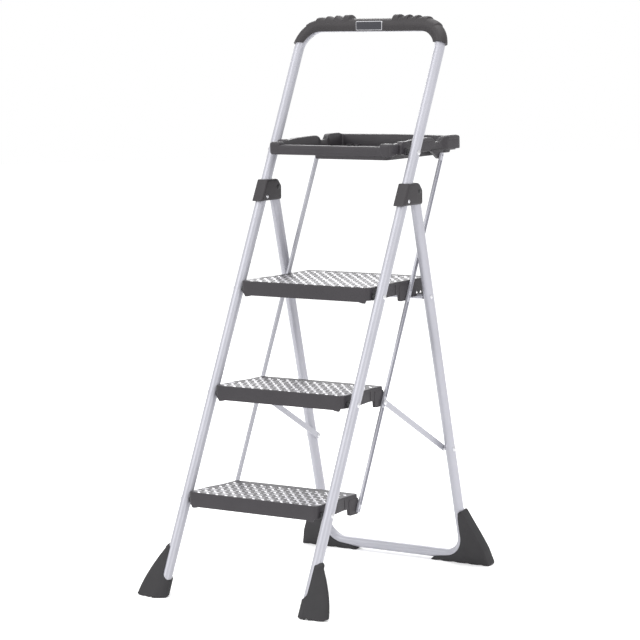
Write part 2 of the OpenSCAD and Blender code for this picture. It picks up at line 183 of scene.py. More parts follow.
def smooth(a, b, x):
    """0 before a and 1 past b, with a soft step between them."""
    t = max(0.0, min(1.0, (x - a) / (b - a)))
    return t * t * (3 - 2 * t)


def across(side):
    """Draws an outline of y and z on one side of the ladder, with w as its distance from the middle."""
    def place(u, v, w):
        return (side * w, u, v)
    return place


def wall(shape, x0, x1, y0, y1, z0, z1):
    """A plain rib or wall between two corners."""
    ring = [(x0, y0), (x1, y0), (x1, y1), (x0, y1)]
    shape.slab(ring, z0, z1, 0.3, lambda u, v, w: (u, v, w), steps=1)


def to_object(shape, name, mats=(), sharp=SHARP):
    mesh = bpy.data.meshes.new(name)
    mesh.from_pydata([(x * MM, y * MM, z * MM) for x, y, z in shape.verts], [], shape.faces)
    for poly, m in zip(mesh.polygons, shape.mats):
        poly.material_index = m
    for m in mats:
        mesh.materials.append(m)
    obj = bpy.data.objects.new(name, mesh)
    bpy.context.scene.collection.objects.link(obj)
    clean(obj, sharp)
    return obj


def adopt(obj, body, node):
    """Let a finished piece ride on a body and stand for a CAD node."""
    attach(obj, body)
    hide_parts(node)


def join(obj, shape):
    """Add a shape's faces to an object, which keeps its own materials."""
    extra = to_object(shape, "extra")
    bm = bmesh.new()
    bm.from_mesh(obj.data)
    bm.from_mesh(extra.data)
    bm.to_mesh(obj.data)
    bm.free()
    bpy.data.objects.remove(extra)


def clean(obj, sharp=SHARP):
    """Turn all faces outwards, and shade them smooth between sharp edges."""
    bm = bmesh.new()
    bm.from_mesh(obj.data)
    bmesh.ops.recalc_face_normals(bm, faces=bm.faces)
    bm.to_mesh(obj.data)
    bm.free()
    for poly in obj.data.polygons:
        poly.use_smooth = True
    obj.data.set_sharp_from_angle(angle=math.radians(sharp))


def cut(obj, cutter):
    """obj less the cutter, which is then thrown away."""
    mod = obj.modifiers.new("cut", "BOOLEAN")
    mod.operation, mod.solver, mod.object = "DIFFERENCE", "EXACT", cutter
    bpy.context.view_layer.update()
    done = obj.evaluated_get(bpy.context.evaluated_depsgraph_get())
    mesh = bpy.data.meshes.new_from_object(done)
    obj.modifiers.clear()
    old, obj.data = obj.data, mesh
    bpy.data.meshes.remove(old)
    bpy.data.objects.remove(cutter)


def dress(obj, slot, sharp):
    """Give a cut piece one material and fresh shading."""
    obj.data.materials.clear()
    obj.data.materials.append(MATERIALS[slot])
    clean(obj, sharp)


def tube_cutter(points, r, n=40):
    """A round bar along a line of points, for cutting."""
    shape, rings, pts = Shape(), [], np.array(points, float)
    for i, p in enumerate(pts):
        t = pts[min(i + 1, len(pts) - 1)] - pts[max(i - 1, 0)]
        t /= np.linalg.norm(t)
        side = np.cross(t, [0.3, 1, 0.1])
        side /= np.linalg.norm(side)
        up = np.cross(side, t)
        rings.append([p + r * (math.cos(a) * side + math.sin(a) * up) for a in turn_angles(n)])
    shape.loft(rings)
    return to_object(shape, "cutter")


# ---------------------------------------------------------------- materials
def material(name, color, rough, metallic=0.0, specular=0.5, coat=0.0):
    mat = bpy.data.materials.new(name)
    mat.use_nodes = True
    nodes, links = mat.node_tree.nodes, mat.node_tree.links
    bsdf = nodes["Principled BSDF"]
    bsdf.inputs["Base Color"].default_value = (*color, 1)
    bsdf.inputs["Roughness"].default_value = rough
    bsdf.inputs["Metallic"].default_value = metallic
    bsdf.inputs["Specular IOR Level"].default_value = specular
    bsdf.inputs["Coat Weight"].default_value = coat
    bsdf.inputs["Coat Roughness"].default_value = 0.25
    return mat, nodes, links, bsdf


def noise(nodes, links, scale, detail=4.0, rough=0.6):
    coord = nodes.new("ShaderNodeTexCoord")
    tex = nodes.new("ShaderNodeTexNoise")
    tex.inputs["Scale"].default_value = scale
    tex.inputs["Detail"].default_value = detail
    tex.inputs["Roughness"].default_value = rough
    links.new(coord.outputs["Object"], tex.inputs["Vector"])
    return tex


def vary(nodes, links, bsdf, color, spread, scale, rough, rough_spread):
    """Slow drift of colour and gloss over the surface."""
    tex = noise(nodes, links, scale, 5.0)
    ramp = nodes.new("ShaderNodeValToRGB")
    ramp.color_ramp.elements[0].position = 0.3
    ramp.color_ramp.elements[1].position = 0.7
    ramp.color_ramp.elements[0].color = (*[c * (1 - spread) for c in color], 1)
    ramp.color_ramp.elements[1].color = (*[min(1, c * (1 + spread)) for c in color], 1)
    links.new(tex.outputs["Fac"], ramp.inputs["Fac"])
    links.new(ramp.outputs["Color"], bsdf.inputs["Base Color"])
    span = nodes.new("ShaderNodeMapRange")
    span.inputs["To Min"].default_value = rough - rough_spread
    span.inputs["To Max"].default_value = rough + rough_spread
    fine = noise(nodes, links, scale * 6, 4.0)
    links.new(fine.outputs["Fac"], span.inputs["Value"])
    links.new(span.outputs["Result"], bsdf.inputs["Roughness"])


def bump(nodes, links, bsdf, tex, strength, distance):
    node = nodes.new("ShaderNodeBump")
    node.inputs["Strength"].default_value = strength
    node.inputs["Distance"].default_value = distance
    links.new(tex.outputs["Fac"], node.inputs["Height"])
    links.new(node.outputs["Normal"], bsdf.inputs["Normal"])


def paint(name, color, rough=0.36):
    """Powder coat: a fine orange peel over a slightly metallic colour."""
    mat, nodes, links, bsdf = material(name, color, rough, 0.25, 0.5, 0.15)
    vary(nodes, links, bsdf, color, 0.035, 9.0, rough, 0.04)
    bump(nodes, links, bsdf, noise(nodes, links, 900.0, 2.0), 0.12, 0.0003)
    return mat


def plastic(name, color, rough, grain=1400.0, depth=0.35, spread=0.08, specular=0.36):
    """Moulded polypropylene with a fine grain."""
    mat, nodes, links, bsdf = material(name, color, rough, specular=specular)
    vary(nodes, links, bsdf, color, spread, 14.0, rough, 0.06)
    bump(nodes, links, bsdf, noise(nodes, links, grain, 3.0, 0.7), depth, 0.0004)
    return mat


def steel(name, color=(0.62, 0.62, 0.64), rough=0.3):
    """Bright metal with fine marks."""
    mat, nodes, links, bsdf = material(name, color, rough, 1.0)
    vary(nodes, links, bsdf, color, 0.08, 60.0, rough, 0.1)
    bump(nodes, links, bsdf, noise(nodes, links, 700.0, 3.0), 0.15, 0.0002)
    return mat


MATERIALS = {
    "tube_paint": paint("tube_paint", (0.385, 0.385, 0.425)),
    "bar_steel": paint("bar_steel", (0.40, 0.40, 0.44), 0.4),
    "grip_plastic": plastic("grip_plastic", (0.026, 0.023, 0.025), 0.5, 1800.0, 0.4),
    "plaque_plastic": plastic("plaque_plastic", (0.035, 0.035, 0.042), 0.3, 2500.0, 0.1),
    "block_plastic": plastic("block_plastic", (0.029, 0.026, 0.029), 0.5),
    "foot_rubber": plastic("foot_rubber", (0.020, 0.019, 0.021), 0.6, 1100.0, 0.5, 0.12),
    "tread_plastic": plastic("tread_plastic", (0.031, 0.028, 0.032), 0.48),
    "tray_plastic": plastic("tray_plastic", (0.031, 0.028, 0.032), 0.45),
    "spacer_plastic": plastic("spacer_plastic", (0.03, 0.03, 0.032), 0.45, 1500.0, 0.2, 0.03),
    "pin_black": plastic("pin_black", (0.016, 0.016, 0.018), 0.35, 2500.0, 0.1, 0.03),
    "rivet_steel": steel("rivet_steel"),
}
# Paler copy of the tread plastic for the walking surface: a painted sheen of grazing light over the field
TOP_PAINTED_SHEEN = plastic("tread_top_painted_sheen", (0.070, 0.067, 0.074), 0.55, 1600.0, 0.25, specular=0.22)
# Pale copy of the tread plastic for the studs: a painted highlight where they catch the light
STUD_PAINTED_HIGHLIGHT = plastic("tread_stud_painted_highlight", (0.52, 0.51, 0.55), 0.28, 1800.0, 0.15, 0.05, specular=0.5)
RIM = plastic("plaque_rim", (0.5, 0.5, 0.52), 0.35, 2000.0, 0.1, 0.03)


# ---------------------------------------------------------------- treads
# From the tread's front pivot: how far it reaches forwards, sideways in front and behind, and up
NOSE, SIDE, REAR_SIDE, TREAD_TOP = 19, 188, 180, 22
SKIRT_LOW, SIDE_LOW = -13, -8.6
FRONT_R, REAR_R = 11, 8
# The sides draw in from their full width to the rear width between these places
DRAW_IN = (50, 108)
# A tread deeper than this is the platform
PLATFORM_REAR = 200
STUD_PITCH = (27.0, 28.0)
STUD_HALF = (10.5, 3.7)
STUD_TURN = 42
LUG_IN, LUG_OUT = 172.5, 181.1


def tread_plan(rear, d=0.0):
    """Right half of a tread's outline from the front middle to the rear middle, then mirrored."""
    pts = [(x, -NOSE + d) for x in np.linspace(0, SIDE - 12, 30)]
    for a in np.radians(np.linspace(-90, 0, 9)[1:]):
        pts.append((SIDE - FRONT_R + (FRONT_R - d) * math.cos(a),
                    -NOSE + FRONT_R + (FRONT_R - d) * math.sin(a)))
    for y in np.linspace(0, 55, 12):
        pts.append((SIDE - d, y))
    for y in np.linspace(60, 105, 10):
        pts.append((SIDE - d - (SIDE - REAR_SIDE) * smooth(*DRAW_IN, y), y))
    for y in np.linspace(110, rear - REAR_R - 1, int(rear / 6)):
        pts.append((REAR_SIDE - d, y))
    for a in np.radians(np.linspace(0, 90, 9)):
        pts.append((REAR_SIDE - REAR_R + (REAR_R - d) * math.cos(a),
                    rear - REAR_R + (REAR_R - d) * math.sin(a)))
    bow_x = REAR_SIDE - REAR_R
    pts += [(x, rear - d + 3 * (1 - (x / bow_x) ** 2)) for x in np.linspace(bow_x - 4, 0, 20)]
    return [(x, y) for x, y in pts] + [(-x, y) for x, y in reversed(pts[1:-1])]


def skirt_low(x, y, rear):
    """Height of the skirt's lower edge: deeper near the front corners, arched along the sides."""
    if y > rear - 1:
        return SKIRT_LOW
    # Outside this line the folded link bars pass under the skirt
    clear = smooth(176, 180.5, abs(x))
    if y < 0:
        low = SKIRT_LOW - 2.6 * smooth(158, 168, abs(x))
        return low + (SIDE_LOW - low) * clear
    side = SIDE_LOW - 16.4 * smooth(118, 126, y)
    # The side wall runs down to the lug, and on the platform on behind it
    if rear > PLATFORM_REAR:
        side += 5.0 * smooth(162, 170, y) + 5.0 * smooth(222, 230, y)
    return side


def lozenge(turn):
    """The outline of one stud, turned by so many degrees."""
    ca, sa = math.cos(math.radians(turn)), math.sin(math.radians(turn))
    out = []
    for k in range(12):
        b = 2 * math.pi * k / 12
        u = STUD_HALF[0] * math.cos(b)
        v = STUD_HALF[1] * math.sin(b) * (0.75 + 0.25 * abs(math.sin(b)))
        out.append((u * ca - v * sa, u * sa + v * ca))
    return out


def studs(shape, rear, mat):
    """Raised lozenges over the tread, turned one way and the other by turns."""
    pitch_x, pitch_y = STUD_PITCH
    rows = int((rear + NOSE - 12) / (pitch_y / 2))
    y_first = -NOSE + 9.0
    for r in range(rows):
        y = y_first + r * pitch_y / 2
        n = 15 - r % 2
        outline = lozenge(STUD_TURN if r % 2 else -STUD_TURN)
        for k in range(n):
            x = (k - (n - 1) / 2) * pitch_x
            edge = (SIDE if y < 55 else REAR_SIDE) - 11
            if abs(x) > edge or y > rear - 8:
                continue
            rings = [[(x + size * u, y + size * v, TREAD_TOP - 0.5 + z) for u, v in outline]
                     for size, z in ((1.0, -1.3), (0.86, 0.15), (0.5, 0.45))]
            shape.loft(rings, mat, caps=(False, True))


def tread(name, p, rear):
    """One tread with its skirt, studs, ribs and lugs; the platform's sides have through holes as well."""
    shape = Shape()

    def ring(d, z):
        return [(x, y, z) for x, y in tread_plan(rear, d)]

    def low_ring(d, lift):
        flat = tread_plan(rear, 0.0)
        return [(x, y, skirt_low(fx, fy, rear) + lift)
                for (x, y), (fx, fy) in zip(tread_plan(rear, d), flat)]

    top = TREAD_TOP
    outer = [ring(2.8, top - 4.5), low_ring(2.8, 0.5), low_ring(2.3, 0.0), low_ring(0.6, 0.0),
             low_ring(0.0, 0.7), ring(0.0, top - 2.6), ring(0.35, top - 1.3), ring(1.1, top - 0.4),
             ring(2.0, top - 0.1), ring(2.6, top - 0.4)]
    shape.loft(outer + [ring(3.0, top - 0.5)])
    # The last cap is the walking surface, in a paler copy of the tread plastic: a painted sheen
    shape.mats[-1] = 1
    # The third material, for the studs, is a pale copy of the plastic: a painted highlight
    obj = to_object(shape.moved(p), name + "_moulding", (MATERIALS["tread_plastic"], TOP_PAINTED_SHEEN, STUD_PAINTED_HIGHLIGHT))
    if rear > PLATFORM_REAR:
        for y0 in (190, 206):
            hole = Shape()
            triangle = rounded([(y0, -13.5), (y0 + 13, -13.5), (y0 + 6.5, -4.5)], 1, 3)
            hole.slab(triangle, -SIDE - 4, SIDE + 4, 0.2, across(1), steps=1)
            cut(obj, to_object(hole.moved(p), "cutter"))
    trim = Shape()
    # The studs take material 2, the pale stud material: a painted highlight
    studs(trim, rear, 2)
    # Ribs on the underside
    for x in np.arange(-120, 121, 60):
        wall(trim, x - 1.1, x + 1.1, -NOSE + 2, rear - 2, 2, top - 4)
    for y in np.arange(28, rear - 20, 45):
        wall(trim, -REAR_SIDE + 2, REAR_SIDE - 2, y - 1.1, y + 1.1, 2, top - 4)
    lug = rounded([(119, 6), (122, -24), (126, -25.4), (143, -25.4), (152.5, -25.6), (161, -22),
                   (161.5, 2), (156, 14), (122, 14)], [2, 2, 2, 1, 8, 8, 4, 3, 3])
    boss = disc((0, 0), 9.5, 32)
    rib = rounded([(103, -8), (106, -8), (106, top - 6), (103, top - 6)], 1)
    for side in (-1, 1):
        trim.slab(lug, LUG_IN, LUG_OUT, 1.2, across(side))
        trim.slab(boss, SIDE - 9, SIDE - 0.1, 0.8, across(side))
        trim.slab(rib, LUG_IN + 2.5, LUG_OUT + 0.1, 0.6, across(side))
    join(obj, trim.moved(p))
    clean(obj)
    adopt(obj, name, name)


tread("step_1", P1, rear_of("step_1", P1) - 3)
tread("step_2", P2, rear_of("step_2", P2) - 3)
tread("platform", P3, rear_of("platform", P3) - 3)


# ---------------------------------------------------------------- tray
TRAY_FRONT, TRAY_SIDE = 61, 178
TRAY_REAR = rear_of("tray", PT)
REAR_FLARE, POD_PROUD = 5.5, 1.0
FLOOR, TRAY_LOW, WELL_LOW = -4.5, -8, -17.5
WELL_X0, WELL_X1 = -57, 160


def tray_plan(d, front=-TRAY_FRONT, side=TRAY_SIDE, rear=TRAY_REAR, rf=10, rr=22, flare=REAR_FLARE):
    """The outline of the tray moved inwards by d; rf and rr round its front and rear corners."""
    pts = [(x, front + d + POD_PROUD) for x in np.linspace(0, side - rf - 1, 24)]
    for a in np.radians(np.linspace(-90, 0, 8)):
        pts.append((side - rf + (rf - d) * math.cos(a),
                    front + POD_PROUD + rf + (rf - d) * math.sin(a)))
    for y in np.linspace(front + rf + 3, rear - rr - 2, 56):
        pts.append((side - d, y))
    for a in np.radians(np.linspace(0, 90, 10)):
        pts.append((side - rr + (rr - d) * math.cos(a),
                    rear - rr + (rr - d) * math.sin(a)))
    pts += [(x, rear - d) for x in np.linspace(side - rr - 1, 0, 16)]
    pts = [(x + flare * smooth(166, 180, y) * min(1, x / 100), y) for x, y in pts]
    return pts + [(-x, y) for x, y in reversed(pts[1:-1])]


# Height of the side walls' top along the tray, with the notch for long tools between two rounded humps
WALL_Y = [-61, -44, -38, -20, 10, 40, 109, 123, 131, 137, 161, 167, 175, 186, 224, 240, 250]
WALL_Z = [15, 16, 20, 22, 24, 27, 28.4, 27.5, 23, 16, 16, 23, 28, 29, 29, 26, 25]


def wall_top(x, y):
    """Height of the tray's rim at a place of its outline."""
    if y < -50:
        return 15.5
    if y > TRAY_REAR - 3:
        return 25.0 + 1.5 * (1 - abs(x) / TRAY_SIDE)
    return float(np.interp(y, WALL_Y, WALL_Z))


def tray_shell(shape):
    """The tray's skin: the well's underside, the rim's outer and inner side, and the floor with its well."""
    base = tray_plan(0.0)
    tops = [wall_top(x, y) for x, y in base]
    sides = [smooth(-50, -30, y) for x, y in base]

    def ring(d, z):
        return [(x, y, z) for x, y in tray_plan(d)]

    def low_ring(d, dz):
        return [(x, y, TRAY_LOW + 3.5 * s + dz) for (x, y), s in zip(tray_plan(d), sides)]

    def top_ring(d, dz):
        return [(x, y, t + dz) for (x, y), t in zip(tray_plan(d), tops)]

    def well(d, z):
        squeeze = (WELL_X1 - WELL_X0) / (2 * WELL_X1)
        return [(WELL_X0 + (x + WELL_X1) * squeeze, y, z)
                for x, y in tray_plan(d, -46, WELL_X1, 210, 18, 20, 0)]

    underside = [well(3, WELL_LOW), well(1.0, WELL_LOW + 0.7), well(0, WELL_LOW + 2.4), well(-1, FLOOR - 3)]
    outside = [ring(10.5, FLOOR - 3), low_ring(10, 0.6), low_ring(9.2, 0), low_ring(1.2, 0), low_ring(0, 1.2),
               top_ring(0, -4), top_ring(0.6, -2), top_ring(2.2, -0.5), top_ring(4.5, 0)]
    inside = [top_ring(12, 0), top_ring(14.4, -0.8), top_ring(15.8, -2.8), ring(17.5, FLOOR + 2),
              ring(19.5, FLOOR)]
    floor = [well(2.5, FLOOR), well(4, FLOOR - 1), well(5.5, WELL_LOW + 4), well(8, WELL_LOW + 2.6)]
    shape.loft(underside + outside + inside + floor)


def tray_side(shape, side):
    """What one side of the tray carries: pod, hinge boss, lugs, beads and collars."""
    def plan_of(u, v, w):
        return (side * u, v, w)
    pod_x, pod_y = TRAY_SIDE + 0.6, -TRAY_FRONT + 0.1
    pod = rounded([(146, pod_y), (pod_x, pod_y), (pod_x, -36), (146, -36)], [8, 11, 9, 8], 8)
    shape.slab(pod, -8.6, 22.5, 6.5, plan_of, steps=6)
    lump = rounded([(-24, -6), (16, -6), (14, 20), (4, 25.5), (-14, 25.5), (-22, 18)],
                   [3, 4, 8, 7, 7, 6], 8)
    shape.slab(lump, TRAY_SIDE - 12, TRAY_SIDE + 6.5, 3.5, across(side), steps=4)
    shape.slab(disc((0, 0), 9, 32), TRAY_SIDE + 2, TRAY_SIDE + 10, 1, across(side))
    lug = rounded([(112, -2), (128, -12), (146, -25), (156, -25), (163, -18), (166, -2)],
                  [3, 8, 8, 8, 6, 3], 6)
    shape.slab(lug, TRAY_SIDE - 8, TRAY_SIDE + 3.2, 1.5, across(side))
    stop = rounded([(176, -2), (184, -13), (204, -13), (210, -2)], [2, 3, 4, 2])
    shape.slab(stop, TRAY_SIDE - 18, TRAY_SIDE - 4, 1.5, across(side))
    # Bead along the top of the side wall, either side of the notch
    for y0, y1, z, x in ((28, 121, 26.0, TRAY_SIDE), (184, 232, 26.8, TRAY_SIDE + REAR_FLARE)):
        bead = rounded([(y0, z - 7), (y1, z - 7), (y1, z), (y0, z)], 3)
        shape.slab(bead, x - 3, x + 0.9, 0.9, across(side))
    # Round tool holders in the rear corners
    for x in (140, 118):
        collar(shape, side * x, 226, 7.5, 4.6, FLOOR - 0.5, FLOOR + 5)


def collar(shape, x, y, r1, r0, z0, z1):
    """A raised ring on the tray's floor, from radius r0 to r1."""
    profile = ((r1, z0), (r1, z1 - 0.8), (r1 - 0.8, z1), (r0 + 0.6, z1), (r0, z1 - 0.6), (r0, z0))
    rings = [[(px, py, z) for px, py in disc((x, y), r)] for r, z in profile]
    shape.loft(rings, caps=(False, False))


def build_tray():
    shape = Shape()
    tray_shell(shape)
    # Shallow ribs on the floor of the well
    for x in np.arange(-30, 141, 34):
        wall(shape, x - 1.2, x + 1.2, -30, 192, WELL_LOW + 2, WELL_LOW + 4.2)
    for side in (-1, 1):
        tray_side(shape, side)
    # Long bead on the front bar
    bead = rounded([(-138, -2), (138, -2), (138, 8.5), (-138, 8.5)], 4)
    shape.slab(bead, TRAY_FRONT - 2, TRAY_FRONT - 0.6, 0.4, lambda u, v, w: (u, -w, v))
    obj = to_object(shape.moved(PT), "tray_moulding", (MATERIALS["tray_plastic"],))
    adopt(obj, "tray", "tray")


build_tray()


# ---------------------------------------------------------------- grip
GRIP_CROSS = RAIL_X - BEND
# How far the grip runs round each bend, measured along the tube
GRIP_TURN = BEND * math.pi / 2 - 14
BADGE_LIFT = 3.0
def on_handle(x, v, n):
    """A point in the handle's plane: x across, v up along it, n behind it."""
    q = RAIL_FOOT + UP_RAIL * v + BACK_RAIL * n
    return (x, q[1], q[2])


HUMP_FROM, HUMP_TO = 61, 84
TEETH, TOOTH_PITCH = 4, 26.0


def tooth(s):
    """Height of the crests along the grip, at a distance from its middle: a hump, then four saw teeth."""
    if s < HUMP_FROM:
        return 0.0
    if s < HUMP_TO:
        return 9.5 * smooth(HUMP_FROM, HUMP_FROM + 5, s) * (1 - 0.8 * smooth(HUMP_TO - 4, HUMP_TO, s))
    k, f = divmod((s - HUMP_TO) / TOOTH_PITCH, 1.0)
    base = 1.8 * (1 - smooth(2.0, 4.2, k + f))
    if k >= TEETH:
        return base
    return base + (6.8 - 1.5 * k) * smooth(-0.1, 0.88, f) * (1 - smooth(0.9, 0.99, f))


def grip_radius(s, phi):
    """Radius of the grip at a distance from its middle, phi round from its top towards its front."""
    # The section is squarest seen from the front: flat on top and down its face
    square = (abs(math.cos(phi - LEAN)) ** 3 + abs(math.sin(phi - LEAN)) ** 3) ** (-1 / 3)
    lift = 1 - smooth(0, 40, s - GRIP_CROSS)
    r = (17.3 + 1.2 * lift) * (1 + (square - 1) * 0.55)
    r += 2.0 * max(math.cos(phi), 0) ** 2
    r += tooth(s) * smooth(0.1, 0.8, math.cos(phi + math.radians(5)))
    return r * (1 - 0.08 * smooth(GRIP_CROSS + 45, GRIP_CROSS + GRIP_TURN, s))


def grip_point(s, sign, phi, radius):
    """A point of the grip: straight across the middle, then down round the bend."""
    rise, back = radius * math.cos(phi), -radius * math.sin(phi)
    if s <= GRIP_CROSS:
        return on_handle(sign * s, HANDLE_S + rise, back)
    # The grip ends level, so its inside stops sooner than its outside
    reach = BEND + rise
    stop = math.asin(min(1, (BEND - GRIP_DROP) / reach))
    a = (math.pi / 2 - stop) * (s - GRIP_CROSS) / GRIP_TURN
    return on_handle(sign * (GRIP_CROSS + reach * math.sin(a)), HANDLE_S - BEND + reach * math.cos(a), back)


def build_grip():
    shape = Shape()
    end = GRIP_CROSS + GRIP_TURN
    stations = np.concatenate([np.arange(0, end - 1, 1.3), [end]])
    phis = np.radians(np.linspace(-95, 147, 51))
    outer, inner = [], []
    for side_s in [-s for s in reversed(stations[1:])] + list(stations):
        s, sign = abs(side_s), (1 if side_s >= 0 else -1)
        outer.append([grip_point(s, sign, phi, grip_radius(s, phi)) for phi in phis])
        inner.append([grip_point(s, sign, phi, TUBE_R + 0.15) for phi in phis])
    n, m = len(outer), len(phis)
    verts = [p for row in outer for p in row] + [p for row in inner for p in row]
    faces = []
    for k in range(n - 1):
        for i in range(m - 1):
            a, b = k * m + i, (k + 1) * m + i
            faces += [(a, a + 1, b + 1, b), (n * m + a, n * m + b, n * m + b + 1, n * m + a + 1)]
        for i in (0, m - 1):
            a, b = k * m + i, (k + 1) * m + i
            faces.append((a, b, n * m + b, n * m + a))
    for k in (0, n - 1):
        for i in range(m - 1):
            a = k * m + i
            faces.append((a, a + 1, n * m + a + 1, n * m + a))
    shape.add(verts, faces)
    sleeve = to_object(shape, "grip_sleeve", (MATERIALS["grip_plastic"],), 40)
    adopt(sleeve, "front_frame", "handle_grip")


def build_badge():
    """A blank badge that faces straight forwards, with a pale rim."""
    plate = Shape()
    axis = on_handle(0, HANDLE_S, 0)

    def place(u, v, w):
        return (u, axis[1] - w, axis[2] + BADGE_LIFT + v)

    def panel(half_w, half_h, r):
        return rounded([(-half_w, -half_h), (half_w, -half_h), (half_w, half_h), (-half_w, half_h)], r)
    plate.slab(panel(38.5, 11, 3), 15.0, 19.0, 0.5, place, 1)
    plate.slab(panel(37.4, 9.9, 2.4), 18.0, 19.1, 0.3, place)
    badge = to_object(plate, "grip_badge_blank", (MATERIALS["plaque_plastic"], RIM))
    adopt(badge, "front_frame", "grip_plaque")


build_grip()
build_badge()


# ---------------------------------------------------------------- hinge blocks
BLOCK_IN, BLOCK_OUT, BLOCK_WALL = 191.2, 225.0, 4
BLOCK_SHARP = 28
# How far the room for the leg stays behind the rail's axis
RAIL_CLEAR = 18.5


def build_block(side, node):
    """A cover round the rail, with a room behind it that the top of the leg turns in."""
    shape = Shape()
    y, z = HINGE[1], HINGE[2]
    top, low = z + 20.5, z - 31
    outline = [(rail_y(low) - 17.5, low), (y + 15, low - 1), (y + 15.5, top - 18), (y + 2, top - 0.5),
               (rail_y(top) - 16.5, top)]
    outer = rounded(outline, [0, 7, 11, 12, 0], 7)
    shape.slab(outer, BLOCK_IN, BLOCK_OUT, 6.0, across(side), steps=6)
    obj = to_object(shape, node + "_cover", sharp=BLOCK_SHARP)
    rail_line = [rail_point(side, s) for s in (HANDLE_S - 900, HANDLE_S)]
    cut(obj, tube_cutter(rail_line, TUBE_R + TUBE_GAP))
    slot = Shape()
    room = rounded([(rail_y(low - 30) + RAIL_CLEAR, low - 30), (y + 60, low - 30), (y + 60, z + 60),
                    (y + 20, z + 15), (y + 6, z + 17.5), (y - 14.5, z + 15),
                    (rail_y(low + 22) + RAIL_CLEAR, low + 20)], 3)
    slot.slab(room, BLOCK_IN + BLOCK_WALL, 220.8, 0.3, across(side), steps=1)
    cut(obj, to_object(slot, "cutter"))
    dress(obj, "block_plastic", BLOCK_SHARP)
    adopt(obj, "front_frame", node)


build_block(-1, "hinge_block_left")
build_block(1, "hinge_block_right")


# ---------------------------------------------------------------- feet
def hull(points):
    """The convex outline round a set of points."""
    pts = sorted(set(map(tuple, points)))

    def half(seq):
        out = []
        for p in seq:
            while len(out) > 1 and ((out[-1][0] - out[-2][0]) * (p[1] - out[-2][1])
                                    - (out[-1][1] - out[-2][1]) * (p[0] - out[-2][0])) <= 0:
                out.pop()
            out.append(p)
        return out[:-1]
    return half(pts) + half(reversed(pts))


def resample(ring, n, middle):
    """n points of the ring, spaced evenly by angle about a point inside it."""
    p = np.array(ring)
    c = np.array(middle)
    ang = np.unwrap(np.arctan2(*(np.vstack([p, p[:1]]) - c).T[::-1]))
    if ang[-1] < ang[0]:
        p, ang = p[::-1], ang[::-1]
    closed = np.vstack([p, p[:1]])
    want = ang[0] + (turn_angles(n) - ang[0]) % (2 * math.pi)
    out = []
    for t in want:
        i = min(np.searchsorted(ang, t, side="right") - 1, len(ang) - 2)
        a, b = closed[i], closed[i + 1]
        d = np.array([math.cos(t), math.sin(t)])
        m = np.array([[d[0], a[0] - b[0]], [d[1], a[1] - b[1]]])
        k = np.linalg.solve(m, a - c)[0] if abs(np.linalg.det(m)) > 1e-9 else np.linalg.norm(a - c)
        out.append(c + k * d)
    return out


FOOT_HEIGHT, FOOT_TIP = 118.0, 277
FOOT_SHARP = 40
FOOT_POINTS = 96
SCALLOP, SCALLOP_POINTS = 5.5, 10.67


def front_foot_ring(z):
    """Outline of the right front foot at a height: the socket round the rail, drawn out to the tip."""
    t = z / FOOT_HEIGHT
    c = np.array([RAIL_X, rail_y(z)])
    tip_x = FOOT_TIP - 54 * t ** 1.55
    tip_y = RAIL_FOOT[1] - 5 + RAIL_RUN * z * 1.02
    r_tip = 9.5 - 4 * t
    socket = 16.6 - 1.6 * t
    parts = disc(c, socket) + disc((tip_x - r_tip, tip_y), r_tip)
    parts += disc((RAIL_X + 10, c[1] - 6 * (1 - t) - 2), 14.5 - 3.5 * t)
    ring = resample(hull(parts), FOOT_POINTS, (RAIL_X + 16 * (1 - t) + 6 * t, c[1] - 5))
    shrink = 2.0 * max(0, 1 - z / 2.5) + 4.5 * smooth(FOOT_HEIGHT - 7, FOOT_HEIGHT, z) ** 2
    return inset(ring, shrink)


def build_front_foot(side, node):
    shape = Shape()
    sole_levels = [0, 0.8, 2.5, 5]
    levels = sole_levels + list(np.linspace(9, FOOT_HEIGHT - 6, 26))
    levels += [FOOT_HEIGHT - 3, FOOT_HEIGHT - 1.2, FOOT_HEIGHT]
    rings = [[(side * x, y, z) for x, y in front_foot_ring(z)] for z in levels]
    # Scalloped edge of the sole
    for k in range(len(sole_levels)):
        ring = []
        for i, (x, y, z) in enumerate(rings[k]):
            wave = 0.5 + 0.5 * math.cos(i * 2 * math.pi / SCALLOP_POINTS)
            ring.append((x, y, z + (SCALLOP - z) * wave ** 1.5))
        rings[k] = ring
    base = min(p[2] for p in rings[0])
    rings[0] = [(x, y, z - base) for x, y, z in rings[0]]
    shape.loft(rings)
    obj = to_object(shape, node + "_boot", sharp=FOOT_SHARP)
    cut(obj, tube_cutter([rail_point(side, s) for s in (15, 260)], TUBE_R + TUBE_GAP))
    # Above the socket the boot covers only the outer half of the rail
    window = Shape()
    outline = rounded([(RAIL_X + 3, 300), (RAIL_X + 3, 52), (RAIL_X - 9, 40), (RAIL_X - 40, 36),
                       (RAIL_X - 40, 300)], [0, 14, 10, 0, 0], 8)
    window.slab(list(reversed(outline)), -500, 0, 0.2, lambda u, v, w: (side * u, w, v), steps=1)
    cut(obj, to_object(window, "cutter"))
    dress(obj, "foot_rubber", FOOT_SHARP)
    adopt(obj, "front_frame", node)


def on_leg(x, t, n):
    """A point in the rear frame's plane: x across, t up along it, n behind it."""
    q = LEG_FOOT + UP_LEG * t + BACK_LEG * n
    return (x, q[1], q[2])


FIN_HALF = 15.5
FIN_ARCH, FIN_ARCH_PITCH = 5.0, 40
# The fin's edge from its inner end, along the sole, up the outer edge and over the top
FIN_EDGE = [(112, 5), (116, 1.5), (130, -1), (150, -1), (278, -1), (281.5, 0.5), (282.6, 5), (278.5, 20),
            (273, 41), (262, 65), (249, 91), (237, 114), (229, 130), (225.5, 137), (222, 141), (217, 140),
            (211, 136), (208.5, 120), (208, 95)]
CROSS_T = CROSS_Z / UP_LEG[2]


def rear_bend(r, a):
    """A point at radius r and angle a round the middle of the rear frame's right lower bend."""
    return (RAIL_X - REAR_BEND + r * math.cos(a), CROSS_T + REAR_BEND + r * math.sin(a))


